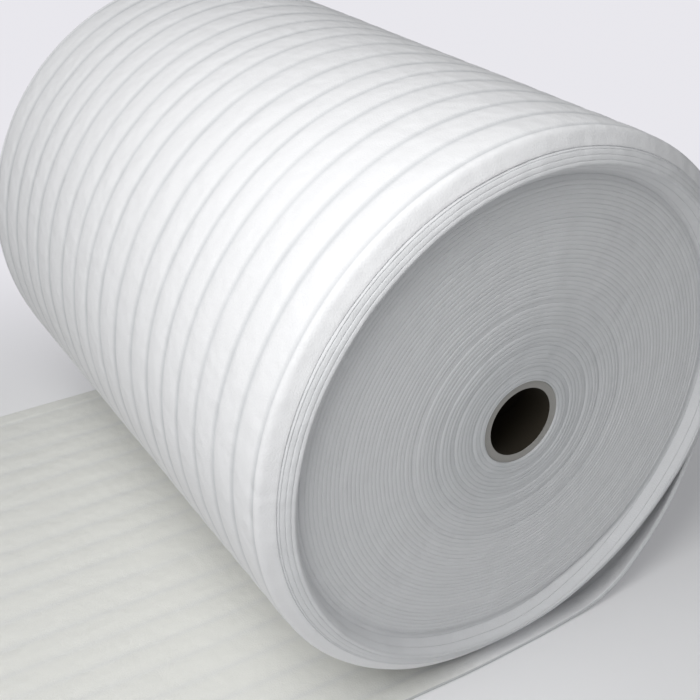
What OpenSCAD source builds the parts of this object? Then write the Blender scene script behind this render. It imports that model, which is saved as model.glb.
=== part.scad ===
// Roll of ribbed foam sheet on a cardboard core, lying on its side with its loose end on the floor.
// The roll's axis runs along Y through the origin, which is the middle of the core's bore.
// The turns are one solid. The outermost turn is a spiral of arcs about two centres, which lets it
// pass under itself, and the turns below it are rings, as each drifts by only its own thickness.

/* [Foam sheet] */
// Width of the sheet from edge to edge
sheet_w = 750; // [600:5:1100]
// Thickness of the sheet at the crown of a rib
sheet_t = 4.5; // [3.5:0.25:6]
// Mean spacing of the valleys between the ribs
rib_pitch = 39; // [28:0.5:55]
// Depth of a valley below the crowns beside it
rib_depth = 1.6; // [0.8:0.1:2.2]
// Width of the plain strip outside the last valley on each side
edge_strip = 24.3; // [18:0.1:34]

/* [Rib spacing] */
// Slow drift of the valleys towards one end of the roll
rib_drift = 6.2; // [0:0.1:8]
// Long waver of the valleys
rib_waver = 3.5; // [0:0.1:4.5]
// Short flutter of the valleys
rib_flutter = 3.1; // [0:0.1:4]

/* [Roll] */
// Diameter of the roll over the crowns
roll_d = 600; // [480:5:760]
// Distance from the sheet's edge in to the flat face of the wound turns
face_inset = 17.7; // [10:0.1:24]
// Depth of the notch between two turns on an end of the roll
turn_notch = 1.4; // [0.6:0.1:2]
// Radial width of the outer turns that stand out past the face
flare_w = 50; // [42:1:70]
// Radial width of the rounded shoulder at the rim
shoulder_w = 20; // [14:1:26]
// Depth of the ring-shaped hollow just inside the flared turns
hollow_depth = 7; // [2:0.5:10]
// Radial width of that hollow
hollow_w = 18; // [10:1:26]

/* [Core] */
// Bore of the cardboard core
core_bore_d = 76; // [50:1:100]
// Wall of the core
core_wall = 8; // [4:0.5:14]
// Distance from the face of the turns in to the core's end
core_recess = 2; // [0:0.5:10]
// Clearance between the core and the first turn
core_gap = 0.3; // [0.2:0.05:0.8]

/* [Loose end] */
// Length of loose sheet on the floor, from below the axis to its cut end
tail_len = 600; // [450:10:900]
// Angle between the loose end and a line square to the axis
tail_skew = 2.6; // [0:0.1:4]
// How far the soft roll settles under its own weight
settle = 3; // [2.2:0.1:3.4]
// Length of loose sheet on the floor on the other side of the axis
loose_run = 96; // [70:1:110]
// Radius of the bend where the loose turn leaves the floor
bend_r = 135; // [110:1:150]
// Angle that this bend turns through
bend_angle = 40; // [34:1:44]
// Angle above the axis, negative below it, at which the free edges start to tuck in
tuck_start = -40; // [-46:1:-32]
// Slope at which the free edges tuck in towards the shoulders
tuck_slope = 9.2; // [5:0.2:12]

/* [Hidden] */
$fn = 180;

roll_r = roll_d / 2;
half_w = sheet_w / 2;
bands = round((sheet_w - 2 * edge_strip) / rib_pitch);
valley_reach = half_w - edge_strip;

// The two centres lie a quarter of the sheet's thickness below and above the axis.
centre_offset = sheet_t / 4;
crest_inset = 1;
crest_w = 7;
crest_r = roll_r - shoulder_w;
shoulder_run = 5;
hollow_r = roll_r - flare_w - hollow_w / 8;

core_r = core_bore_d / 2;
core_outer_r = core_r + core_wall;
hole_r = core_outer_r + core_gap;
core_len = sheet_w - 2 * (face_inset + core_recess);
first_turn_land = 1.5 * sheet_t;
turn_count = floor((roll_r - hole_r - first_turn_land) / sheet_t);

floor_z = settle - roll_r - sheet_t / 2;
turn_lap = 2;
lift = 0.8;
bury = 2;
splice = 0.15;
splice_angle = 1;
contact_x = sqrt(pow(roll_r - centre_offset, 2) - pow(centre_offset - floor_z - sheet_t, 2));
root_land = 6;
rib_start = contact_x + root_land;

// Centre and end of the large arc of the loose turn, in the plane square to the axis.
wrap_r = roll_r;
wrap_x = loose_run + (bend_r - wrap_r) * sin(bend_angle);
wrap_z = floor_z + bend_r + (wrap_r - bend_r) * cos(bend_angle);
meet_r = roll_r + centre_offset - lift;
centre_gap = norm([wrap_x, wrap_z + centre_offset]);
meet_half = acos((pow(centre_gap, 2) + pow(meet_r, 2) - pow(wrap_r, 2)) / (2 * centre_gap * meet_r));
meet_angle = atan2(wrap_z + centre_offset, wrap_x) + meet_half;
meet_x = meet_r * cos(meet_angle);
meet_z = meet_r * sin(meet_angle) - centre_offset;
wrap_end = atan2(meet_z - wrap_z, meet_x - wrap_x) + bury;

function smooth(u) = let (c = min(1, max(0, u))) c * c * (3 - 2 * c);

// Place of valley k along the roll: evenly spaced, then shifted by three slow waves.
function valley_y(k) =
    -valley_reach + 2 * valley_reach * k / bands
    - rib_drift * sin(180 * k / bands)
    + (rib_waver * sin(21.4 * k + 162.3) + rib_flutter * sin(67.9 * k + 189.8))
      * smooth(3 * k / bands) * smooth(3 * (bands - k) / bands);

// Height of a rib over its valley as a share of the depth, at u from 0 to 1 across the rib.
function crown(u) = pow(sin(180 * u), 0.7);

// Points [place, drop] across the sheet from the first valley to the last.
function rib_points() = [
    for (k = [0 : bands - 1])
        for (u = [0, 0.1, 0.28, 0.5, 0.72, 0.9])
            [valley_y(k) + u * (valley_y(k + 1) - valley_y(k)), rib_depth * (1 - crown(u))],
    [valley_y(bands), rib_depth]
];

// Points [place, drop] across the whole sheet, with the plain strip at each side.
function sheet_points() = concat(
    [[-half_w, rib_depth / 2], [-half_w + edge_strip / 2, 0]],
    rib_points(),
    [[half_w - edge_strip / 2, 0], [half_w, rib_depth / 2]]
);

// A point of the loose end in plan, swung with it by the angle at which it lies askew.
function askew(x, y) =
    [x * cos(tail_skew) + y * sin(tail_skew), y * cos(tail_skew) - x * sin(tail_skew)];

// Distance from the sheet's edge in to the end of the turn at radius r.
function turn_inset(r) =
    face_inset
    - (face_inset - crest_inset) * smooth((r - roll_r + flare_w) / (flare_w - shoulder_w - crest_w))
    + hollow_depth * smooth(1 - abs(r - hollow_r) * 2 / hollow_w);

// Points [radius, inset] over one end of the roll, from the bore to the crest of the shoulder.
function end_points() = concat(
    [[hole_r, face_inset]],
    [
        for (k = [turn_count : -1 : 0])
            let (r = roll_r - k * sheet_t)
                for (u = [0, 0.5])
                    let (ru = r + u * sheet_t)
                        if (ru < crest_r)
                            [ru, turn_inset(ru) + (u == 0 ? turn_notch : 0)]
    ]
);

// Points [radius, inset] over the rounded shoulder, from angle a0 to its plain outer side.
function shoulder_points(r_out, shift, a0) =
    let (r0 = crest_r + shift, reach = edge_strip - shoulder_run - crest_inset)
    [
        for (a = [a0 : 15 : 90])
            [r0 + (r_out - r0) * sin(a), crest_inset + reach * (1 - cos(a))]
    ];

// Both ends of a half section from points [radius, inset], with the points between them.
function mirrored(end, between) =
    let (last = len(end) - 1)
    concat(
        [for (p = end) [p[0], p[1] - half_w]],
        between,
        [for (i = [last : -1 : 0]) [end[i][0], half_w - end[i][1]]]
    );

// Section through all the turns but the outermost, as [radius, place along the axis].
module inner_section() {
    polygon(mirrored(concat(end_points(), shoulder_points(roll_r - sheet_t, 0, 0)), []));
}

// Section through the outermost turn, ribbed outside, whose edges make the rim of the roll.
module outer_section(r_out, shift) {
    rim = shoulder_points(r_out, shift, 45);
    seat = [r_out - sheet_t - turn_lap, rim[0][1]];
    polygon(mirrored(concat([seat], rim), [for (p = rib_points()) [r_out - p[1], p[0]]]));
}

// Section through the loose sheet, with its smooth side at radius r - sheet_t. Spare is added all
// round, so that a thicker stretch swallows the end of a thinner one.
module sheet_section(r, spare) {
    polygon(concat(
        [[r - sheet_t - spare, -half_w - spare]],
        [for (p = sheet_points()) [r - p[1] + spare, p[0] * (half_w + spare) / half_w]],
        [[r - sheet_t - spare, half_w + spare]]
    ));
}

// Turns an outline about an axis along Y through [x, z], from angle a0 up to angle a1.
module turn_about(x, z, a0, a1) {
    translate([x, 0, z])
        rotate([-90, 0, 0])
            rotate_extrude(angle = a1 - a0, start = -a1)
                children();
}

// The turns below the outermost one, each with a notch beside it on both ends of the roll.
module inner_turns() {
    rotate([-90, 0, 0])
        rotate_extrude()
            inner_section();
}

// The outermost turn, from where it comes loose, over the top and down to the floor.
module outer_turn() {
    turn_about(0, centre_offset, 90, 270)
        outer_section(roll_r - centre_offset, -centre_offset);
    turn_about(0, -centre_offset, meet_angle, 90)
        outer_section(roll_r + centre_offset, centre_offset);
}

// Space past one free edge of the loose turn, sloping in towards the shoulder as it rises.
module tuck_cut() {
    translate([0, -half_w, wrap_r * sin(tuck_start)])
        rotate([-tuck_slope, 0, 0])
            translate([0, -half_w, 0])
                cube([2 * roll_r, half_w, 2 * roll_r]);
}

// The plain stretch on the floor under the roll, with a mitre where the free end goes askew.
module floor_run() {
    wide = half_w + splice;
    mitre = wide * tan(tail_skew / 2);
    translate([0, 0, floor_z])
        linear_extrude(sheet_t + splice)
            polygon([
                [loose_run, -wide],
                [loose_run, wide],
                [mitre, wide],
                askew(-rib_start - bury, wide),
                askew(-rib_start - bury, -wide),
                [-mitre, -wide]
            ]);
}

// The loose part of the last turn: up from the floor through a bend and back onto the roll.
module loose_turn() {
    turn_about(loose_run, floor_z + bend_r, -90, bend_angle - 90 + splice_angle)
        sheet_section(bend_r, 0);
    difference() {
        turn_about(wrap_x, wrap_z, bend_angle - 90, wrap_end)
            sheet_section(wrap_r, splice);
        tuck_cut();
        mirror([0, 1, 0])
            tuck_cut();
    }
}

// The free end of the sheet, flat on the floor and a little askew to the roll.
module tail() {
    rotate([0, 0, -tail_skew])
        translate([-tail_len, 0, floor_z])
            rotate([90, 0, 90])
                linear_extrude(tail_len - rib_start)
                    polygon(concat(
                        [[-half_w, splice]],
                        [for (p = sheet_points()) [p[0], sheet_t - p[1]]],
                        [[half_w, splice]]
                    ));
}

module foam_sheet() {
    color("whitesmoke") {
        inner_turns();
        outer_turn();
        floor_run();
        loose_turn();
        tail();
    }
}

module core_tube() {
    color("tan")
        rotate([-90, 0, 0])
            difference() {
                cylinder(h = core_len, r = core_outer_r, center = true);
                cylinder(h = 2 * core_len, r = core_r, center = true);
            }
}

foam_sheet();
core_tube();
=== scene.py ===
"""Roll of ribbed packing foam on a board core, lying on its side with its loose end on the floor.

The roll's axis runs along Y through the origin. The end that the camera sees faces -Y, and the
loose end of the sheet runs out towards -X. All lengths are in metres and all angles in degrees.
"""

import logging
import math
from collections.abc import Iterable, Mapping
from dataclasses import dataclass
from enum import Enum

import bpy
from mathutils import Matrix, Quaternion, Vector

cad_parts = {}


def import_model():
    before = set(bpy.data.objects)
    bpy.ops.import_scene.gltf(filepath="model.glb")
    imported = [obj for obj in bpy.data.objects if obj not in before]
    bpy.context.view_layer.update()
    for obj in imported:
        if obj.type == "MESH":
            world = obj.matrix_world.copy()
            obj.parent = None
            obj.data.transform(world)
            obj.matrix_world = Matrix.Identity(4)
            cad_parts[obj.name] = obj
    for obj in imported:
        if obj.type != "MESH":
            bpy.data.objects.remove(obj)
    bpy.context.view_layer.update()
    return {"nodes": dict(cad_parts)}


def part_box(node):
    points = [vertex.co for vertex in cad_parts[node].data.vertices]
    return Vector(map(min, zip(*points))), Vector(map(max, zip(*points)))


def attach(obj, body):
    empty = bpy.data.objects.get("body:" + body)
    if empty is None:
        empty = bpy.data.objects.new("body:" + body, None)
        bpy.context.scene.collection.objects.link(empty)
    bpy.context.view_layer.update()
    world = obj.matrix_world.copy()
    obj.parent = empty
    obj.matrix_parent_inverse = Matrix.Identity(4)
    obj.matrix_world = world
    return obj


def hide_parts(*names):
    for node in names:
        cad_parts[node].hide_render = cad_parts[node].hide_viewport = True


log = logging.getLogger("foam_roll")

NOISE_GAIN = 4.0
Colour = tuple[float, float, float]


class Attribute(str, Enum):
    """Names of the attributes that the meshes hand to the materials and to each other."""

    CURL = "curl"
    SWING = "swing"
    # Painted shade in the rib valleys and where the turns meet.
    GROOVE_SHADE = "groove"
    # Grey of the cut edges; on the loose sheet's rim it is partly painted shade.
    CUT_TONE_AND_SHADE = "cut"
    # Marks the lone sheet on the floor, whose tint is partly painted shade.
    SINGLE = "single"


class Value:
    """A number in a node tree. Arithmetic on it adds Math nodes to the tree."""

    def __init__(self, graph: "Graph", socket: bpy.types.NodeSocket) -> None:
        """Wraps an output socket.

        Args:
            graph: The graph that the socket's node is in.
            socket: The output socket that carries the number.
        """
        self.graph = graph
        self.socket = socket

    def _math(self, operation: str, *terms: "Value | float") -> "Value":
        """Adds one Math node.

        Args:
            operation: The node's operation.
            terms: Its inputs, in order.

        Returns:
            The node's result.
        """
        node = self.graph.add("ShaderNodeMath", {"operation": operation}, dict(enumerate(terms)))
        return Value(self.graph, node.outputs[0])

    def __add__(self, other: "Value | float") -> "Value":
        """Sum."""
        return self._math("ADD", self, other)

    __radd__ = __add__

    def __sub__(self, other: "Value | float") -> "Value":
        """Difference."""
        return self._math("SUBTRACT", self, other)

    def __rsub__(self, other: float) -> "Value":
        """Difference from a number."""
        return self._math("SUBTRACT", other, self)

    def __mul__(self, other: "Value | float") -> "Value":
        """Product."""
        return self._math("MULTIPLY", self, other)

    __rmul__ = __mul__

    def __truediv__(self, other: "Value | float") -> "Value":
        """Quotient."""
        return self._math("DIVIDE", self, other)

    def __pow__(self, power: "Value | float") -> "Value":
        """Power."""
        return self._math("POWER", self, power)

    def __neg__(self) -> "Value":
        """The same with its sign turned."""
        return self * -1.0

    def __abs__(self) -> "Value":
        """Size without its sign."""
        return self._math("ABSOLUTE", self)

    def above(self, limit: "Value | float") -> "Value":
        """1 where it is above a limit, and 0 elsewhere."""
        return self._math("GREATER_THAN", self, limit)

    def floor(self) -> "Value":
        """Whole part."""
        return self._math("FLOOR", self)

    def root(self) -> "Value":
        """Square root."""
        return self._math("SQRT", self)

    def sin(self) -> "Value":
        """Sine of an angle in degrees."""
        return self._math("SINE", self * math.radians(1))

    def cos(self) -> "Value":
        """Cosine of an angle in degrees."""
        return self._math("COSINE", self * math.radians(1))

    def at_least(self, limit: "Value | float") -> "Value":
        """The larger of it and a limit."""
        return self._math("MAXIMUM", self, limit)

    def at_most(self, limit: "Value | float") -> "Value":
        """The smaller of it and a limit."""
        return self._math("MINIMUM", self, limit)

    def smooth(self) -> "Value":
        """A soft step that is 0 below 0 and 1 above 1."""
        clipped = self.at_least(0.0).at_most(1.0)
        return clipped * clipped * (3.0 - 2.0 * clipped)

    def mix(self, low: "Value | float", high: "Value | float") -> "Value":
        """Goes from low, where it is 0, to high, where it is 1."""
        return low + self * (high - low)


class Graph:
    """Adds nodes to one shader or geometry tree."""

    def __init__(self, tree: bpy.types.NodeTree) -> None:
        """Starts on a tree.

        Args:
            tree: The tree that the nodes go into.
        """
        self.tree = tree

    def add(
        self,
        kind: str,
        settings: Mapping[str, object] | None = None,
        inputs: Mapping[int | str, object] | None = None,
    ) -> bpy.types.Node:
        """Adds a node, sets it up and joins its inputs.

        Args:
            kind: The node's type.
            settings: Its own properties, which are set before its inputs.
            inputs: What goes into its inputs, by name or number: a Value, a socket or a constant.

        Returns:
            The node.
        """
        node = self.tree.nodes.new(kind)
        for name, setting in (settings or {}).items():
            setattr(node, name, setting)
        for key, given in (inputs or {}).items():
            target = node.inputs[key]
            if isinstance(given, Value):
                given = given.socket
            if isinstance(given, bpy.types.NodeSocket):
                self.tree.links.new(given, target)
            else:
                target.default_value = given
        return node

    def value(
        self,
        kind: str,
        settings: Mapping[str, object] | None = None,
        inputs: Mapping[int | str, object] | None = None,
        output: int | str = 0,
    ) -> Value:
        """Adds a node as add() does and takes one of its outputs as a number.

        Args:
            kind: The node's type.
            settings: Its own properties.
            inputs: What goes into its inputs.
            output: The name or number of the output.

        Returns:
            That output.
        """
        return Value(self, self.add(kind, settings, inputs).outputs[output])

    def vector(self, x: Value | float, y: Value | float, z: Value | float) -> bpy.types.NodeSocket:
        """A vector from its three parts."""
        return self.add("ShaderNodeCombineXYZ", None, {0: x, 1: y, 2: z}).outputs[0]

    def parts(self, vector: bpy.types.NodeSocket) -> tuple[Value, Value, Value]:
        """The three parts of a vector."""
        node = self.add("ShaderNodeSeparateXYZ", None, {0: vector})
        x, y, z = (Value(self, output) for output in node.outputs)
        return x, y, z

    def blend(
        self, share: Value, low: Colour | bpy.types.NodeSocket, high: Colour | bpy.types.NodeSocket
    ) -> bpy.types.NodeSocket:
        """A colour between two others.

        Args:
            share: 0 or less for the first colour and 1 or more for the second.
            low: The first colour.
            high: The second colour.

        Returns:
            The socket that carries it.
        """
        inputs = {"Factor": share.at_least(0.0).at_most(1.0)}
        for number, colour in ((6, low), (7, high)):
            inputs[number] = (*colour, 1.0) if isinstance(colour, tuple) else colour
        return self.add("ShaderNodeMix", {"data_type": "RGBA"}, inputs).outputs[2]

    def noise(self, vector: bpy.types.NodeSocket, size: float, detail: float = 1.0) -> Value:
        """Smooth noise of about -1 to 1.

        Args:
            vector: Where it is read.
            size: The length of one of its waves.
            detail: How many finer layers it has.

        Returns:
            The noise.
        """
        inputs = {"Vector": vector, "Scale": 1.0 / size, "Detail": detail}
        noise = self.value("ShaderNodeTexNoise", {"noise_dimensions": "3D"}, inputs)
        return noise * NOISE_GAIN - NOISE_GAIN / 2

    def attribute(self, attribute: Attribute) -> Value:
        """What a mesh hands to its material."""
        return self.value("ShaderNodeAttribute", {"attribute_name": attribute.value}, output="Fac")


@dataclass(frozen=True)
class Ripple:
    """Smooth noise that makes a soft sheet uneven."""

    size: float
    depth: float
    detail: float = 1.0
    seed: float = 0.0

    def at(
        self, graph: Graph, x: Value | float, y: Value | float, z: Value | float | None = None
    ) -> Value:
        """Reads the noise at a place.

        Args:
            graph: The graph that the nodes go into.
            x: First part of the place.
            y: Second part of the place.
            z: Third part of the place, which is the seed when it is left out.

        Returns:
            The noise, of about the ripple's depth to both sides of 0.
        """
        spot = graph.vector(x, y, self.seed if z is None else z)
        return graph.noise(spot, self.size, self.detail) * self.depth


def soft_step(value: float, start: float, stop: float) -> float:
    """A soft step that is 0 at the start and 1 at the stop."""
    u = min(1.0, max(0.0, (value - start) / (stop - start)))
    return u * u * (3 - 2 * u)


def added(name: str, data: bpy.types.ID) -> bpy.types.Object:
    """A new object in the scene that holds a mesh, a lamp or a camera."""
    thing = bpy.data.objects.new(name, data)
    bpy.context.scene.collection.objects.link(thing)
    return thing


def dress(
    graph: Graph, shader: bpy.types.Node, tone: bpy.types.NodeSocket, height: Value
) -> None:
    """Gives a material's shader its colour and its fine relief.

    Args:
        graph: The material's graph.
        shader: Its main shader.
        tone: The socket that carries the colour.
        height: The relief in metres.
    """
    bump = graph.add("ShaderNodeBump", None, {"Strength": 1.0, "Distance": 1.0, "Height": height})
    graph.tree.links.new(tone, shader.inputs["Base Color"])
    graph.tree.links.new(bump.outputs[0], shader.inputs["Normal"])


def node_material(name: str) -> tuple[bpy.types.Material, Graph, bpy.types.Node]:
    """Starts a material.

    Args:
        name: The material's name.

    Returns:
        The material, its graph and its main shader.
    """
    material = bpy.data.materials.new(name)
    material.use_nodes = True
    return material, Graph(material.node_tree), material.node_tree.nodes["Principled BSDF"]


@dataclass(frozen=True)
class RollSizes:
    """The roll's driving sizes, which the CAD source also has, and what follows from them."""

    sheet_w: float = 0.750
    sheet_t: float = 0.0045
    rib_pitch: float = 0.039
    rib_depth: float = 0.0016
    edge_strip: float = 0.0243
    rib_drift: float = 0.0062
    rib_waver: float = 0.0035
    waver_wave: tuple[float, float] = (21.4, 162.3)
    rib_flutter: float = 0.0031
    flutter_wave: tuple[float, float] = (67.9, 189.8)
    roll_d: float = 0.600
    face_inset: float = 0.0177
    hollow_w: float = 0.018
    core_bore_d: float = 0.076
    core_wall: float = 0.008
    core_gap: float = 0.0003
    tail_len: float = 0.600
    tail_skew: float = 2.6
    settle: float = 0.003
    loose_run: float = 0.096
    bend_r: float = 0.135
    bend_angle: float = 40.0

    @property
    def roll_r(self) -> float:
        """Radius of the roll over its crowns."""
        return self.roll_d / 2

    @property
    def half_w(self) -> float:
        """Half the sheet's width."""
        return self.sheet_w / 2

    @property
    def valley_reach(self) -> float:
        """Distance from the middle of the sheet to its last valley."""
        return self.half_w - self.edge_strip

    @property
    def bands(self) -> int:
        """Number of ribs across the sheet."""
        return round(2 * self.valley_reach / self.rib_pitch)

    @property
    def floor_z(self) -> float:
        """Height of the floor."""
        return self.settle - self.roll_r - self.sheet_t / 2

    @property
    def hole_r(self) -> float:
        """Radius of the first turn's inside."""
        return self.core_bore_d / 2 + self.core_wall + self.core_gap

    def turn_r(self, angle: Value | float) -> Value | float:
        """Outer radius of the spiral that the sheet is wound in.

        Args:
            angle: The angle from +X towards +Z, which keeps rising from turn to turn.

        Returns:
            The radius, which shrinks by the sheet's thickness in each turn.
        """
        return self.roll_r + self.sheet_t * (90.0 - angle) / 360.0


@dataclass
class Flattening:
    """How the roll's underside settles on the sheet that lies below it."""

    sizes: RollSizes
    depth: float = 0.028
    clearance: float = 0.0002

    @property
    def start_z(self) -> float:
        """Height at which the settling starts."""
        return self.depth - self.sizes.turn_r(270.0)

    @property
    def keep(self) -> float:
        """What is left of the depth below that height."""
        room = self.start_z - (self.sizes.floor_z + self.sizes.sheet_t + self.clearance)
        return room / self.depth

    def settled(self, z: float) -> float:
        """The height that a point of the roll at height z comes to."""
        return self.start_z - (self.start_z - z) * self.keep if z < self.start_z else z

    def settled_value(self, z: Value) -> Value:
        """The same as settled(), for a value in a node tree."""
        below = (self.start_z - z).at_least(0.0)
        return z + below * (1.0 - self.keep)


@dataclass(frozen=True)
class FoamFinish:
    """Soft matte closed-cell foam with painted shade in its rib valleys and between its turns, and
    a greyer tone on its cut edges that is partly painted shade.
    """

    name: str = "white_foam"
    crown: Colour = (0.86, 0.86, 0.87)
    # groove: painted shade for the rib valleys and for the joins between the turns.
    groove: Colour = (0.68, 0.69, 0.705)
    # cut: greyer tone of the cut edges; on the loose sheet's free edge it is partly painted shade
    # of the dark edge line.
    cut: Colour = (0.60, 0.615, 0.63)
    # single: the lone sheet's warmer tint, made a little darker as painted shade.
    single: Colour = (0.83, 0.83, 0.79)
    roughness: float = 0.62
    cell: float = 0.0016
    cell_depth: float = 0.00009
    dent: float = 0.022
    dent_depth: float = 0.0005
    mottle: float = 0.048
    specular: float = 0.3

    def build(self) -> bpy.types.Material:
        """Makes the material.

        Returns:
            A material whose greying follows the attributes of the sheet.
        """
        material, graph, shader = node_material(self.name)
        place = graph.add("ShaderNodeTexCoord").outputs["Object"]
        cells = graph.noise(place, self.cell, detail=2.0)
        dents = graph.noise(place, self.dent)
        # Painted shade: the lone sheet goes towards its darker tint, the valleys and turn joins
        # towards the groove grey with a random mottle, and the cut edges towards the cut grey,
        # partly their own tone and partly painted shade.
        tone = graph.blend(graph.attribute(Attribute.SINGLE), self.crown, self.single)
        mottled_groove_shade = graph.attribute(Attribute.GROOVE_SHADE) + cells * self.mottle
        tone = graph.blend(mottled_groove_shade, tone, self.groove)
        tone = graph.blend(graph.attribute(Attribute.CUT_TONE_AND_SHADE), tone, self.cut)
        dress(graph, shader, tone, cells * self.cell_depth + dents * self.dent_depth)
        shader.inputs["Roughness"].default_value = self.roughness
        shader.inputs["Specular IOR Level"].default_value = self.specular
        return material


@dataclass(frozen=True)
class BoardFinish:
    """Uncoated board wound in a slanting strip, painted near-black on its wall as the shade in the
    bore, and dusty on its cut ends.
    """

    name: str = "core_board"
    # Painted shade: the wall and its seam are near-black for the dark of the bore, not the board's
    # own brown.
    painted_shade_wall: Colour = (0.024, 0.018, 0.009)
    seam: Colour = (0.015, 0.010, 0.005)
    end: Colour = (0.43, 0.42, 0.40)
    ply_line: Colour = (0.28, 0.265, 0.24)
    strip_w: float = 0.105
    seam_share: float = 0.7
    seam_sharpness: float = 24.0
    seam_depth: float = 0.0004
    ply: float = 0.0011
    ply_share: float = 0.5
    ply_sharpness: float = 3.0
    ply_depth: float = 0.0001
    fibre: float = 0.004
    fibre_squeeze: float = 6.0
    fibre_on_wall: float = 0.15
    fibre_on_end: float = 0.2
    fibre_depth: float = 0.00008
    end_margin: float = 0.0005
    roughness: float = 0.85

    def build(self, end_y: float) -> bpy.types.Material:
        """Makes the material.

        Args:
            end_y: Distance from the middle of the tube to its ends.

        Returns:
            A material that follows the tube's own axis along Y.
        """
        material, graph, shader = node_material(self.name)
        place = graph.add("ShaderNodeTexCoord").outputs["Object"]
        x, y, z = graph.parts(place)
        turn = graph.value("ShaderNodeMath", {"operation": "ARCTAN2"}, {0: z, 1: x}) / (2 * math.pi)
        strip = y / self.strip_w + turn
        seam = (1.0 - abs(strip - (strip + 0.5).floor()) * self.seam_sharpness).smooth()
        fibre_spot = graph.vector(x * self.fibre_squeeze, y, z * self.fibre_squeeze)
        fibre = graph.noise(fibre_spot, self.fibre, detail=3.0)
        radius = (x * x + z * z).root()
        ply = radius / self.ply
        ply_edge = (1.0 - abs(ply - (ply + 0.5).floor()) * self.ply_sharpness).smooth()
        at_end = abs(y).above(end_y - self.end_margin)
        seamed = seam * self.seam_share + fibre * self.fibre_on_wall
        plied = ply_edge * self.ply_share + fibre * self.fibre_on_end
        # Painted shade of the bore on the wall, with its darker seam and fibre.
        painted_shade_wall = graph.blend(seamed, self.painted_shade_wall, self.seam)
        end = graph.blend(plied, self.end, self.ply_line)
        tone = graph.blend(at_end, painted_shade_wall, end)
        relief = fibre * self.fibre_depth - seam * self.seam_depth
        dress(graph, shader, tone, relief - at_end * ply_edge * self.ply_depth)
        shader.inputs["Roughness"].default_value = self.roughness
        return material


class SweptRing:
    """A geometry tree for a closed mesh made of rings, whose points are put in place by rules."""

    def __init__(self, name: str, ring_points: int) -> None:
        """Starts the tree.

        Args:
            name: The tree's name.
            ring_points: Number of points round each ring.
        """
        self.tree = bpy.data.node_groups.new(name, "GeometryNodeTree")
        self.graph = Graph(self.tree)
        self.ring_points = ring_points
        self.settings: dict[str, object] = {}
        for way in ("INPUT", "OUTPUT"):
            self.tree.interface.new_socket("Geometry", in_out=way, socket_type="NodeSocketGeometry")
        self.entry = self.graph.add("NodeGroupInput")
        index = self.graph.value("GeometryNodeInputIndex")
        self.row = (index / float(ring_points)).floor()
        self.place = index - self.row * float(ring_points)

    def _input(self, name: str, kind: str, setting: object) -> None:
        """Adds a named input and notes what the modifier sets it to.

        Args:
            name: What the input is called.
            kind: Its socket type.
            setting: What it is set to.
        """
        item = self.tree.interface.new_socket(name, in_out="INPUT", socket_type=kind)
        self.settings[item.identifier] = setting

    def number(self, name: str, value: float) -> Value:
        """Adds a named input for a size.

        Args:
            name: What the input is called.
            value: What the modifier sets it to.

        Returns:
            The input's value in the tree.
        """
        self._input(name, "NodeSocketFloat", float(value))
        return Value(self.graph, self.entry.outputs[name])

    def end(
        self,
        rows: int,
        position: bpy.types.NodeSocket,
        attributes: Mapping[Attribute, Value],
        material: bpy.types.Material,
    ) -> None:
        """Finishes the tree: makes the rings, puts their points in place and sets the finish.

        Args:
            rows: Number of rings.
            position: Where each point goes.
            attributes: What is stored on the points.
            material: The finish.
        """
        graph = self.graph
        self._input("Finish", "NodeSocketMaterial", material)
        self._input("Rings", "NodeSocketInt", rows)
        line = graph.add("GeometryNodeCurvePrimitiveLine")
        spine = graph.add(
            "GeometryNodeResampleCurve",
            {"mode": "COUNT"},
            {"Curve": line.outputs[0], "Count": self.entry.outputs["Rings"]},
        )
        ring = graph.add(
            "GeometryNodeCurvePrimitiveCircle", {"mode": "RADIUS"}, {"Resolution": self.ring_points}
        )
        mesh = graph.add(
            "GeometryNodeCurveToMesh",
            None,
            {"Curve": spine.outputs[0], "Profile Curve": ring.outputs[0], "Fill Caps": True},
        )
        shape = mesh.outputs[0]
        for attribute, value in attributes.items():
            shape = graph.add(
                "GeometryNodeStoreNamedAttribute",
                {"data_type": "FLOAT", "domain": "POINT"},
                {"Geometry": shape, "Name": attribute.value, "Value": value},
            ).outputs[0]
        moves = {"Geometry": shape, "Position": position}
        placed = graph.add("GeometryNodeSetPosition", None, moves)
        smooth = graph.add("GeometryNodeSetShadeSmooth", None, {"Geometry": placed.outputs[0]})
        real = graph.add("GeometryNodeRealizeInstances", None, {"Geometry": smooth.outputs[0]})
        dressed = graph.add(
            "GeometryNodeSetMaterial",
            None,
            {"Geometry": real.outputs[0], "Material": self.entry.outputs["Finish"]},
        )
        graph.add("NodeGroupOutput", None, {0: dressed.outputs[0]})

    def made(self, name: str, base: bpy.types.Mesh) -> bpy.types.Object:
        """Runs the tree on a mesh and keeps what comes out as a plain mesh.

        Args:
            name: The new piece's name.
            base: The mesh that the tree starts from.

        Returns:
            The piece, at the origin, with its faces outwards and no modifier.
        """
        carrier = added(f"{name}_base", base)
        modifier = carrier.modifiers.new("Shape", "NODES")
        modifier.node_group = self.tree
        for identifier, setting in self.settings.items():
            modifier[identifier] = setting
        bpy.context.view_layer.update()
        evaluated = carrier.evaluated_get(bpy.context.evaluated_depsgraph_get())
        mesh = bpy.data.meshes.new_from_object(evaluated)
        mesh.name = name
        bpy.data.objects.remove(carrier)
        piece = added(name, mesh)
        if signed_volume(mesh) < 0:
            mesh.flip_normals()
        return piece


def signed_volume(mesh: bpy.types.Mesh) -> float:
    """The volume that a closed mesh holds, which is negative where its faces point inwards.

    Args:
        mesh: The mesh.

    Returns:
        Its volume in cubic metres.
    """
    mesh.calc_loop_triangles()
    points = [vertex.co for vertex in mesh.vertices]
    total = 0.0
    for triangle in mesh.loop_triangles:
        a, b, c = (points[i] for i in triangle.vertices)
        total += a.dot(b.cross(c))
    return total / 6.0


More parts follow.
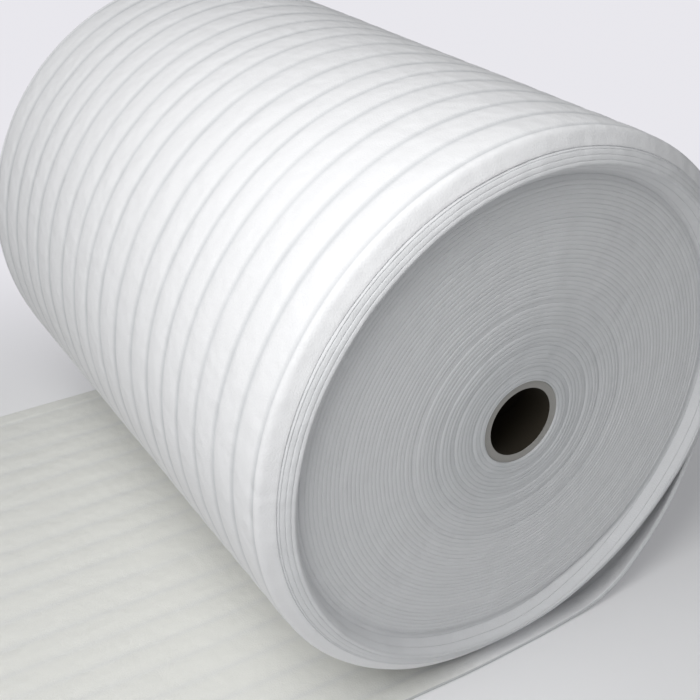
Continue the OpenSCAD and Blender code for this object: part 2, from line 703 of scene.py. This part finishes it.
@dataclass
class LooseTurn:
    """The sheet from its cut end, round the roll once, to where it runs in under itself."""

    sizes: RollSizes
    flattening: Flattening
    finish: bpy.types.Material
    band_steps: int = 7
    strip_steps: int = 9
    rim_steps: int = 4
    rim_bulge: float = 0.0009
    rows: int = 240
    curl_r: float = 0.010
    curl_run: float = 0.001
    curl_angle: float = 58.0
    curl_from: float = -88.0
    curl_to: float = -8.0
    merge_from: float = -42.0
    merge_to: float = -8.0
    end_angle: float = 268.0
    floor_steps: int = 60
    path_step: float = 1.0
    swing_run: float = 0.12
    under_depth: float = 0.0012
    crown_power: float = 0.6
    single_power: float = 1.4
    single_depth: float = 1.7
    strip_rise: float = 2.5
    # Painted shade in the rib valleys: how narrow it is and how much of it the lone sheet keeps.
    groove_shade_power: float = 3.0
    groove_shade_single: float = 0.3
    # Greying of the free edge's rim, partly the cut foam's tone and partly painted shade of the
    # dark edge line; less where the edge curls in.
    cut_from: float = 20.0
    cut_flat: float = 0.7
    cut_curled: float = 0.25
    noise_length: float = 2.4
    waver: Ripple = Ripple(0.22, 0.0009, detail=0.0)
    waver_spacing: float = 0.31
    unevenness: Ripple = Ripple(0.09, 0.25, seed=3.0)
    uneven_spacing: float = 0.7
    edge_wave: Ripple = Ripple(0.12, 0.0008, seed=7.0)
    swell: Ripple = Ripple(0.11, 0.00035)

    @property
    def columns(self) -> int:
        """Number of lines along the sheet on one of its faces."""
        return self.sizes.bands * self.band_steps + 1 + 2 * (self.strip_steps + self.rim_steps)

    def _merged_r(self, angle: float) -> float:
        """Outer radius of the loose turn about the axis, past its bend.

        Args:
            angle: Angle from +X towards +Z.

        Returns:
            The radius of the loose arc, which merges into the wound spiral.
        """
        s = self.sizes
        lean = math.radians(s.bend_angle)
        centre = Vector(
            (
                s.loose_run + (s.bend_r - s.roll_r) * math.sin(lean),
                s.floor_z + s.bend_r + (s.roll_r - s.bend_r) * math.cos(lean),
            )
        )
        ray = Vector((math.cos(math.radians(angle)), math.sin(math.radians(angle))))
        along = centre.dot(ray)
        loose = along + math.sqrt(along**2 + s.roll_r**2 - centre.length_squared)
        share = soft_step(angle, self.merge_from, self.merge_to)
        return loose + share * (s.turn_r(angle) - loose)

    def _curled(self, x: float, z: float) -> float:
        """Share of the full curl that the free edges have where the sheet lifts off the floor."""
        angle = math.degrees(math.atan2(z, max(x, 0.0)))
        return soft_step(angle, self.curl_from, self.curl_to)

    def _path(self) -> list[tuple[float, float, float, float]]:
        """Points along the sheet's outer face, from its cut end.

        Returns:
            For each point its x and z, how far the edges curl in and how far it goes askew.
        """
        s = self.sizes
        points = []
        for i in range(self.floor_steps):
            x = -s.tail_len + (s.tail_len + s.loose_run) * i / self.floor_steps
            swing = soft_step(-x, 0.0, self.swing_run)
            points.append((x, s.floor_z, self._curled(x, s.floor_z), swing))
        bend_steps = int(s.bend_angle / self.path_step)
        for i in range(bend_steps):
            a = math.radians(i * self.path_step - 90.0)
            x = s.loose_run + s.bend_r * math.cos(a)
            z = s.floor_z + s.bend_r * (1 + math.sin(a))
            points.append((x, z, self._curled(x, z), 0.0))
        lean = math.radians(s.bend_angle - 90.0)
        lift_x = s.loose_run + s.bend_r * math.cos(lean)
        lift_z = s.floor_z + s.bend_r * (1 + math.sin(lean))
        angle = math.degrees(math.atan2(lift_z, lift_x))
        turns = int((self.end_angle - angle) / self.path_step)
        for i in range(turns + 1):
            a = angle + (self.end_angle - angle) * i / turns
            r = self._merged_r(a)
            x = r * math.cos(math.radians(a))
            z = r * math.sin(math.radians(a))
            curl = self._curled(x, z) if a < 90.0 else 1.0
            z = self.flattening.settled(z) if a > 90.0 else z
            points.append((x, z, curl, 0.0))
        return points

    def _path_mesh(self, points: Iterable[tuple[float, float, float, float]]) -> bpy.types.Mesh:
        """A mesh of one line with the path's points and their attributes.

        Args:
            points: What _path() gives.

        Returns:
            The mesh.
        """
        points = list(points)
        mesh = bpy.data.meshes.new("sheet_path")
        edges = [(i, i + 1) for i in range(len(points) - 1)]
        mesh.from_pydata([(x, 0.0, z) for x, z, _, _ in points], edges, [])
        curl = mesh.attributes.new(Attribute.CURL.value, "FLOAT", "POINT")
        curl.data.foreach_set("value", [p[2] for p in points])
        swing = mesh.attributes.new(Attribute.SWING.value, "FLOAT", "POINT")
        swing.data.foreach_set("value", [p[3] for p in points])
        return mesh

    def _valley(self, k: Value, waver: Value) -> Value:
        """Place of valley k across the sheet.

        Args:
            k: The valley's number, from one edge.
            waver: A slow drift of the line along the sheet.

        Returns:
            Its distance from the middle, as the CAD source has it.
        """
        s = self.sizes
        bands = float(s.bands)
        fade = (3.0 * k / bands).smooth() * ((bands - k) * 3.0 / bands).smooth()
        drift = (k * (180.0 / bands)).sin() * s.rib_drift
        waves = waver
        for depth, (step, start) in ((s.rib_waver, s.waver_wave), (s.rib_flutter, s.flutter_wave)):
            waves = waves + (k * step + start).sin() * depth
        return k * (2 * s.valley_reach / bands) - s.valley_reach - drift + waves * fade

    def _tree(self) -> SweptRing:
        """Builds the tree that sweeps the ribbed sheet along its path.

        Returns:
            The finished tree's builder.
        """
        s = self.sizes
        columns = self.columns
        rings = SweptRing("ribbed_sheet", 2 * (columns - 1))
        graph = rings.graph
        thickness = rings.number("Sheet Thickness", s.sheet_t)
        rib_depth = rings.number("Rib Depth", s.rib_depth)
        under_depth = rings.number("Underside Rib Depth", self.under_depth)
        curl_r = rings.number("Curl Radius", self.curl_r)
        curl_angle = rings.number("Curl Angle", self.curl_angle)

        inner = rings.place.above(columns - 0.5)
        column = inner.mix(rings.place, 2.0 * (columns - 1) - rings.place)
        side_steps = float(self.strip_steps + self.rim_steps)
        ribbed = float(s.bands * self.band_steps)
        q = column - side_steps
        within = q.at_least(0.0).at_most(ribbed)
        k = (within / self.band_steps).floor().at_most(s.bands - 1.0)
        u = within / self.band_steps - k

        factor = rings.row / (self.rows - 1.0)
        path = graph.add("GeometryNodeMeshToCurve", None, {"Mesh": rings.entry.outputs["Geometry"]})
        samples = {}
        for attribute in (Attribute.CURL, Attribute.SWING):
            named = graph.add(
                "GeometryNodeInputNamedAttribute", {"data_type": "FLOAT"}, {"Name": attribute.value}
            )
            samples[attribute] = graph.add(
                "GeometryNodeSampleCurve",
                {"mode": "FACTOR", "data_type": "FLOAT", "use_all_curves": True},
                {"Curves": path.outputs[0], "Value": named.outputs[0], "Factor": factor},
            )
        spot = samples[Attribute.CURL]
        curl = Value(graph, spot.outputs["Value"])
        swing = Value(graph, samples[Attribute.SWING].outputs["Value"])
        x, _, z = graph.parts(spot.outputs["Position"])
        tangent_x, _, tangent_z = graph.parts(spot.outputs["Tangent"])
        length = factor * self.noise_length

        waver = self.waver.at(graph, length, k * self.waver_spacing)
        next_waver = self.waver.at(graph, length, (k + 1.0) * self.waver_spacing)
        start = self._valley(k, waver)
        stop = self._valley(k + 1.0, next_waver)
        crown = (u * 180.0).sin().at_least(0.0) ** swing.mix(self.crown_power, self.single_power)
        uneven = self.unevenness.at(graph, length, k * self.uneven_spacing) + 1.0
        groove = 1.0 - crown

        over = (q - within) * (q - ribbed / 2).above(0.0)
        over = over + (within - q) * (ribbed / 2 - q).above(0.0)
        side = (q - ribbed / 2).above(0.0) * 2.0 - 1.0
        strip = s.edge_strip - self.rim_bulge
        along_strip = (over / self.strip_steps).at_most(1.0) * strip
        rim = ((over - self.strip_steps) / self.rim_steps).at_least(0.0) * 90.0
        beyond = along_strip + rim.sin() * self.rim_bulge
        fullness = rim.cos().at_least(0.0)
        on_strip = over.above(0.0)
        strip_groove = (1.0 - over * (1.0 / self.strip_rise)).at_least(0.0)
        relief = on_strip.mix(groove, strip_groove * strip_groove)

        edge_wave = self.edge_wave.at(graph, length, side)
        flat_y = start + u * (stop - start)
        bent = (beyond - self.curl_run).at_least(0.0)
        angle = (bent * math.degrees(1.0) / curl_r).at_most(curl * curl_angle)
        straight = bent - angle * curl_r * math.radians(1.0)
        fall = curl_r * (1.0 - angle.cos()) + straight * angle.sin()
        reach = beyond.at_most(self.curl_run) + curl_r * angle.sin() + straight * angle.cos()
        edge_y = side * (s.valley_reach + reach + edge_wave * on_strip * (beyond / s.edge_strip))
        mid_y = on_strip.mix(flat_y, edge_y)

        swell = self.swell.at(graph, length, mid_y)
        outer_depth = rib_depth * swing.mix(1.0, self.single_depth)
        outer_h = (thickness / 2 - relief * outer_depth * uneven + swell) * fullness
        inner_h = (thickness / 2 - relief * under_depth * uneven) * fullness
        h = inner.mix(outer_h, -inner_h) - thickness / 2
        lift = h * angle.cos() - fall
        y = mid_y + side * on_strip * angle.sin() * h

        out_x = x + tangent_z * lift
        out_z = z - tangent_x * lift
        sine, cosine = math.sin(math.radians(s.tail_skew)), math.cos(math.radians(s.tail_skew))
        swung_x = out_x * cosine + y * sine
        swung_y = y * cosine - out_x * sine
        final_x = swing.mix(out_x, swung_x)
        final_y = swing.mix(y, swung_y)
        position = graph.vector(final_x, final_y, out_z)
        # Painted shade in the rib valleys; on the underside it fades where the sheet runs upright.
        facing = 1.0 - abs(tangent_z)
        seen = inner.mix(1.0, facing)
        groove_shade = (relief**self.groove_shade_power) * seen * uneven
        stored = {
            Attribute.GROOVE_SHADE: groove_shade * swing.mix(1.0, self.groove_shade_single),
            # Painted shade and cut-edge grey along the free edge's rim.
            Attribute.CUT_TONE_AND_SHADE: rim.above(self.cut_from) * curl.mix(self.cut_flat, self.cut_curled),
            Attribute.SINGLE: swing,
        }
        rings.end(self.rows, position, stored, self.finish)
        return rings

    def build(self) -> bpy.types.Object:
        """Makes the piece.

        Returns:
            The sheet, from its cut end to where it runs in under the roll.
        """
        piece = self._tree().made("loose_turn", self._path_mesh(self._path()))
        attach(piece, "root")
        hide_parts("foam_sheet")
        return piece

    def length(self) -> float:
        """Length of the piece along its middle, before it is laid."""
        points = self._path()
        outer = sum(math.dist(a[:2], b[:2]) for a, b in zip(points, points[1:]))
        return outer - math.radians(self.end_angle + 90.0) * self.sizes.sheet_t / 2


@dataclass
class WoundTurns:
    """The rest of the sheet, wound in a spiral from under the loose turn in to the core."""

    sizes: RollSizes
    flattening: Flattening
    finish: bpy.types.Material
    first_angle: float = 268.0
    steps_per_turn: int = 96
    edge_points: int = 7
    slack: float = 0.012
    notch: float = 0.0004
    crest_inset: float = 0.001
    crest_w: float = 0.030
    crest_rise: float = 0.013
    crest_lean: float = 0.30
    crest_bow: float = 12.9
    take_up: float = 62.0
    cover_w: float = 0.0163
    cover_edge: float = 0.001
    cover_depth: float = 0.0055
    cover_from: float = -60.0
    cover_run: float = 30.0
    hollow_depth: float = 0.003
    rings_at: tuple[float, ...] = (0.0605, 0.084, 0.1035, 0.131)
    ring_w: float = 0.005
    ring_depth: float = 0.0009
    last_t: float = 0.0002
    unevenness: Ripple = Ripple(1.0, 0.00035, detail=2.0)
    uneven_spacing: float = 1.9
    dents: Ripple = Ripple(0.09, 0.0008)
    grain: Ripple = Ripple(1.0, 1.0, detail=2.0, seed=5.0)
    grain_angle: float = 240.0
    grain_rounding: float = 0.5
    least_rounding: float = 0.2
    # Painted shade at the rounded edges where the turns meet.
    groove_shade_tone: float = 0.22
    # Greyer tone of the end face, with random grain, and greyer towards the core.
    cut_tone: float = 0.34
    cut_grain: float = 0.12
    core_tone: float = 0.42
    core_tone_r: float = 0.17
    core_tone_run: float = 0.13

    @property
    def turns(self) -> float:
        """Number of turns from the first angle in to the core, the last of which thins out."""
        room = self.sizes.turn_r(self.first_angle) - self.sizes.hole_r - self.last_t
        return room / self.sizes.sheet_t

    def _inset(self, rings: SweptRing, radius: Value, angle: Value) -> Value:
        """How far in from the end of the roll a point of a turn's edge lies.

        Args:
            rings: The tree's builder.
            radius: Distance of the point from the axis.
            angle: Angle along the spiral, which keeps rising.

        Returns:
            The inset, with the flare, the hollow, the shoulder and the unevenness of a soft roll.
        """
        s = self.sizes
        laps = -((self.first_angle - angle) / 360.0).floor()
        above_angle = angle - laps * 360.0
        taken_up = 1.0 - ((above_angle + (360.0 - self.first_angle)) / self.take_up).smooth()
        spread = radius - s.sheet_t * ((90.0 - above_angle) / 360.0 - taken_up)
        crest_r = s.roll_r - self.crest_w
        rise = ((spread - (crest_r - self.crest_rise)) / self.crest_rise).smooth()
        past = (spread - crest_r).at_least(0.0)
        crest = past * self.crest_lean + past * past * self.crest_bow + self.crest_inset
        hollow = (1.0 - abs(spread - (crest_r - self.crest_rise)) * (2.0 / s.hollow_w)).smooth()
        inset = rise.mix(s.face_inset, crest) + hollow * self.hollow_depth
        outside = ((spread - (s.roll_r - self.cover_w)) / self.cover_edge).smooth()
        covered = outside * ((above_angle - self.cover_from) / self.cover_run).smooth()
        inset = inset + covered * self.cover_depth
        for ring_r in self.rings_at:
            inset = inset + (1.0 - abs(radius - ring_r) / self.ring_w).smooth() * self.ring_depth
        far = rings.place.above(self.edge_points - 0.5)
        along = angle / 360.0 * self.uneven_spacing
        return inset + self.unevenness.at(rings.graph, along, 0.0, far)

    def _tree(self) -> SweptRing:
        """Builds the tree that winds the sheet.

        Returns:
            The finished tree's builder.
        """
        s = self.sizes
        rings = SweptRing("wound_sheet", 2 * self.edge_points)
        graph = rings.graph
        thickness = rings.number("Sheet Thickness", s.sheet_t * (1.0 - self.slack))
        pitch = rings.number("Turn Pitch", s.sheet_t)
        notch = rings.number("Edge Rounding", self.notch)

        angle = rings.row * (360.0 / self.steps_per_turn) + self.first_angle
        outer_r = pitch * (90.0 - angle) / 360.0 + s.roll_r - pitch * self.slack
        inner_r = (outer_r - thickness).at_least(s.hole_r)
        radius = (outer_r + inner_r) / 2
        far = rings.place.above(self.edge_points - 0.5)
        step = rings.place - far * float(self.edge_points)
        tilt = (step - (self.edge_points - 1) / 2) * (180.0 / (self.edge_points - 1))
        tilt = tilt * (1.0 - 2.0 * far)
        side = far * 2.0 - 1.0

        r = radius + tilt.sin() * (outer_r - inner_r) / 2
        dents = self.dents.at(graph, angle.cos() * radius, side, angle.sin() * radius)
        grain = self.grain.at(graph, angle / self.grain_angle, side)
        rounding = notch * (1.0 - tilt.cos())
        rounding = rounding * (grain * self.grain_rounding + 1.0).at_least(self.least_rounding)
        y = side * (s.half_w - self._inset(rings, r, angle) - dents - rounding)
        z = self.flattening.settled_value(angle.sin() * r)
        position = graph.vector(angle.cos() * r, y, z)
        # Painted shade at the rounded edges where the turns meet, and the end face's greyer tone,
        # which rises towards the core.
        core_side = ((self.core_tone_r - radius) / self.core_tone_run).smooth()
        stored = {
            Attribute.GROOVE_SHADE: ((1.0 - tilt.cos()) ** 2.0) * self.groove_shade_tone,
            Attribute.CUT_TONE_AND_SHADE: grain * self.cut_grain + self.cut_tone + core_side * self.core_tone,
        }
        rows = int(self.turns * self.steps_per_turn) + 1
        rings.end(rows, position, stored, self.finish)
        return rings

    def build(self) -> bpy.types.Object:
        """Makes the piece.

        Returns:
            The wound part of the sheet.
        """
        base = bpy.data.meshes.new("winding_start")
        piece = self._tree().made("wound_turns", base)
        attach(piece, "root")
        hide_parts("foam_sheet")
        return piece


@dataclass
class CoreTube:
    """The board tube that the sheet is wound on, which keeps its CAD shape."""

    node: bpy.types.Object
    finish: BoardFinish = BoardFinish()

    def build(self) -> bpy.types.Object:
        """Gives the tube its finish.

        Returns:
            The CAD node.
        """
        low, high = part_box("core_tube")
        material = self.finish.build((high.y - low.y) / 2)
        self.node.data.materials.clear()
        self.node.data.materials.append(material)
        return self.node


@dataclass
class PhotoCamera:
    """A camera that stands where the photo was taken from."""

    place: tuple[float, float, float] = (-0.6252, -1.0263, 0.6263)
    azimuth: float = -32.42
    elevation: float = 31.0
    roll: float = -0.51
    lens: float = 57.0
    sensor: float = 36.0

    def build(self) -> bpy.types.Object:
        """Makes the camera and gives it to the scene.

        Returns:
            The camera.
        """
        data = bpy.data.cameras.new("photo_camera")
        data.lens = self.lens
        data.sensor_width = self.sensor
        camera = added("photo_camera", data)
        a, e = math.radians(self.azimuth), math.radians(self.elevation)
        back = Vector((math.sin(a) * math.cos(e), -math.cos(a) * math.cos(e), math.sin(e)))
        camera.rotation_mode = "QUATERNION"
        aim = (-back).to_track_quat("-Z", "Y")
        camera.rotation_quaternion = aim @ Quaternion((0, 0, 1), math.radians(self.roll))
        camera.location = self.place
        bpy.context.scene.camera = camera
        return camera


@dataclass(frozen=True)
class FloorFinish:
    """Plain pale paper, which the camera sees go over into a plain bright backdrop."""

    name: str = "pale_floor"
    paper: Colour = (0.91, 0.91, 0.91)
    backdrop: Colour = (0.812, 0.804, 0.847)
    starts_at: float = 0.22
    ends_at: float = 0.95
    slant: float = 0.35
    least: float = 0.15
    roughness: float = 0.9
    specular: float = 0.1

    def build(self) -> bpy.types.Material:
        """Makes the material.

        Returns:
            A matt material that glows like the backdrop far from the roll, for the camera alone.
        """
        material, graph, shader = node_material(self.name)
        shader.inputs["Base Color"].default_value = (*self.paper, 1.0)
        shader.inputs["Roughness"].default_value = self.roughness
        shader.inputs["Specular IOR Level"].default_value = self.specular
        x, y, _ = graph.parts(graph.add("ShaderNodeTexCoord").outputs["Object"])
        share = ((x * self.slant + y - self.starts_at) / (self.ends_at - self.starts_at)).smooth()
        seen = graph.value("ShaderNodeLightPath", output="Is Camera Ray")
        glow = graph.add("ShaderNodeEmission", None, {"Color": (*self.backdrop, 1.0)})
        shares = {0: share.mix(self.least, 1.0) * seen, 1: shader.outputs[0], 2: glow.outputs[0]}
        mixed = graph.add("ShaderNodeMixShader", None, shares)
        output = material.node_tree.nodes["Material Output"]
        graph.tree.links.new(mixed.outputs[0], output.inputs["Surface"])
        return material


@dataclass
class Studio:
    """The floor, the lamps and the world round the roll."""

    floor_z: float
    floor_size: float = 14.0
    floor_gap: float = 0.0002
    key_place: tuple[float, float, float] = (-0.85, -0.50, 1.25)
    key_size: float = 1.0
    key_power: float = 16.6
    fill_place: tuple[float, float, float] = (-0.80, -0.95, 0.60)
    fill_size: float = 0.6
    fill_power: float = 0.9
    sky: Colour = (0.96, 0.98, 1.0)
    sky_strength: float = 0.26

    def _floor(self) -> None:
        """Lays the floor just below the roll."""
        half = self.floor_size / 2
        z = self.floor_z - self.floor_gap
        mesh = bpy.data.meshes.new("floor")
        corners = [(-half, -half, z), (half, -half, z), (half, half, z), (-half, half, z)]
        mesh.from_pydata(corners, [], [(0, 1, 2, 3)])
        mesh.materials.append(FloorFinish().build())
        floor = added("floor", mesh)

    def _lamp(
        self, name: str, place: tuple[float, float, float], size: float, power: float
    ) -> None:
        """Hangs a soft lamp that points at the middle of the roll.

        Args:
            name: The lamp's name.
            place: Where it hangs.
            size: Length of its sides.
            power: Its power in watts.
        """
        data = bpy.data.lights.new(name, "AREA")
        data.shape = "SQUARE"
        data.size = size
        data.energy = power
        lamp = added(name, data)
        lamp.location = place
        lamp.rotation_mode = "QUATERNION"
        lamp.rotation_quaternion = (-Vector(place)).to_track_quat("-Z", "Y")

    def _world(self) -> None:
        """Sets the even light of the room."""
        world = bpy.data.worlds.new("room")
        world.use_nodes = True
        backdrop = world.node_tree.nodes["Background"]
        backdrop.inputs["Color"].default_value = (*self.sky, 1.0)
        backdrop.inputs["Strength"].default_value = self.sky_strength
        bpy.context.scene.world = world

    def build(self) -> None:
        """Sets up floor, lamps and room."""
        self._floor()
        self._lamp("key", self.key_place, self.key_size, self.key_power)
        self._lamp("fill", self.fill_place, self.fill_size, self.fill_power)
        self._world()
        bpy.context.scene.view_settings.view_transform = "Standard"


def main() -> None:
    """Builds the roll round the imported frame, piece by piece."""
    logging.basicConfig(level=logging.INFO, format="%(name)s: %(message)s")
    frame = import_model()
    sizes = RollSizes()
    flattening = Flattening(sizes)
    foam = FoamFinish().build()

    wound = WoundTurns(sizes, flattening, foam)
    wound_piece = wound.build()
    log.info("wound_turns: %.1f turns, %d faces", wound.turns, len(wound_piece.data.polygons))
    loose = LooseTurn(sizes, flattening, foam)
    loose_piece = loose.build()
    loose.length()
    log.info("loose_turn: %.3f m long, %d faces", loose.length(), len(loose_piece.data.polygons))
    core = CoreTube(frame["nodes"]["core_tube"])
    log.info("core_tube: %s keeps its CAD shape", core.build().name)

    PhotoCamera().build()
    Studio(sizes.floor_z).build()


if __name__ == "__main__":
    main()
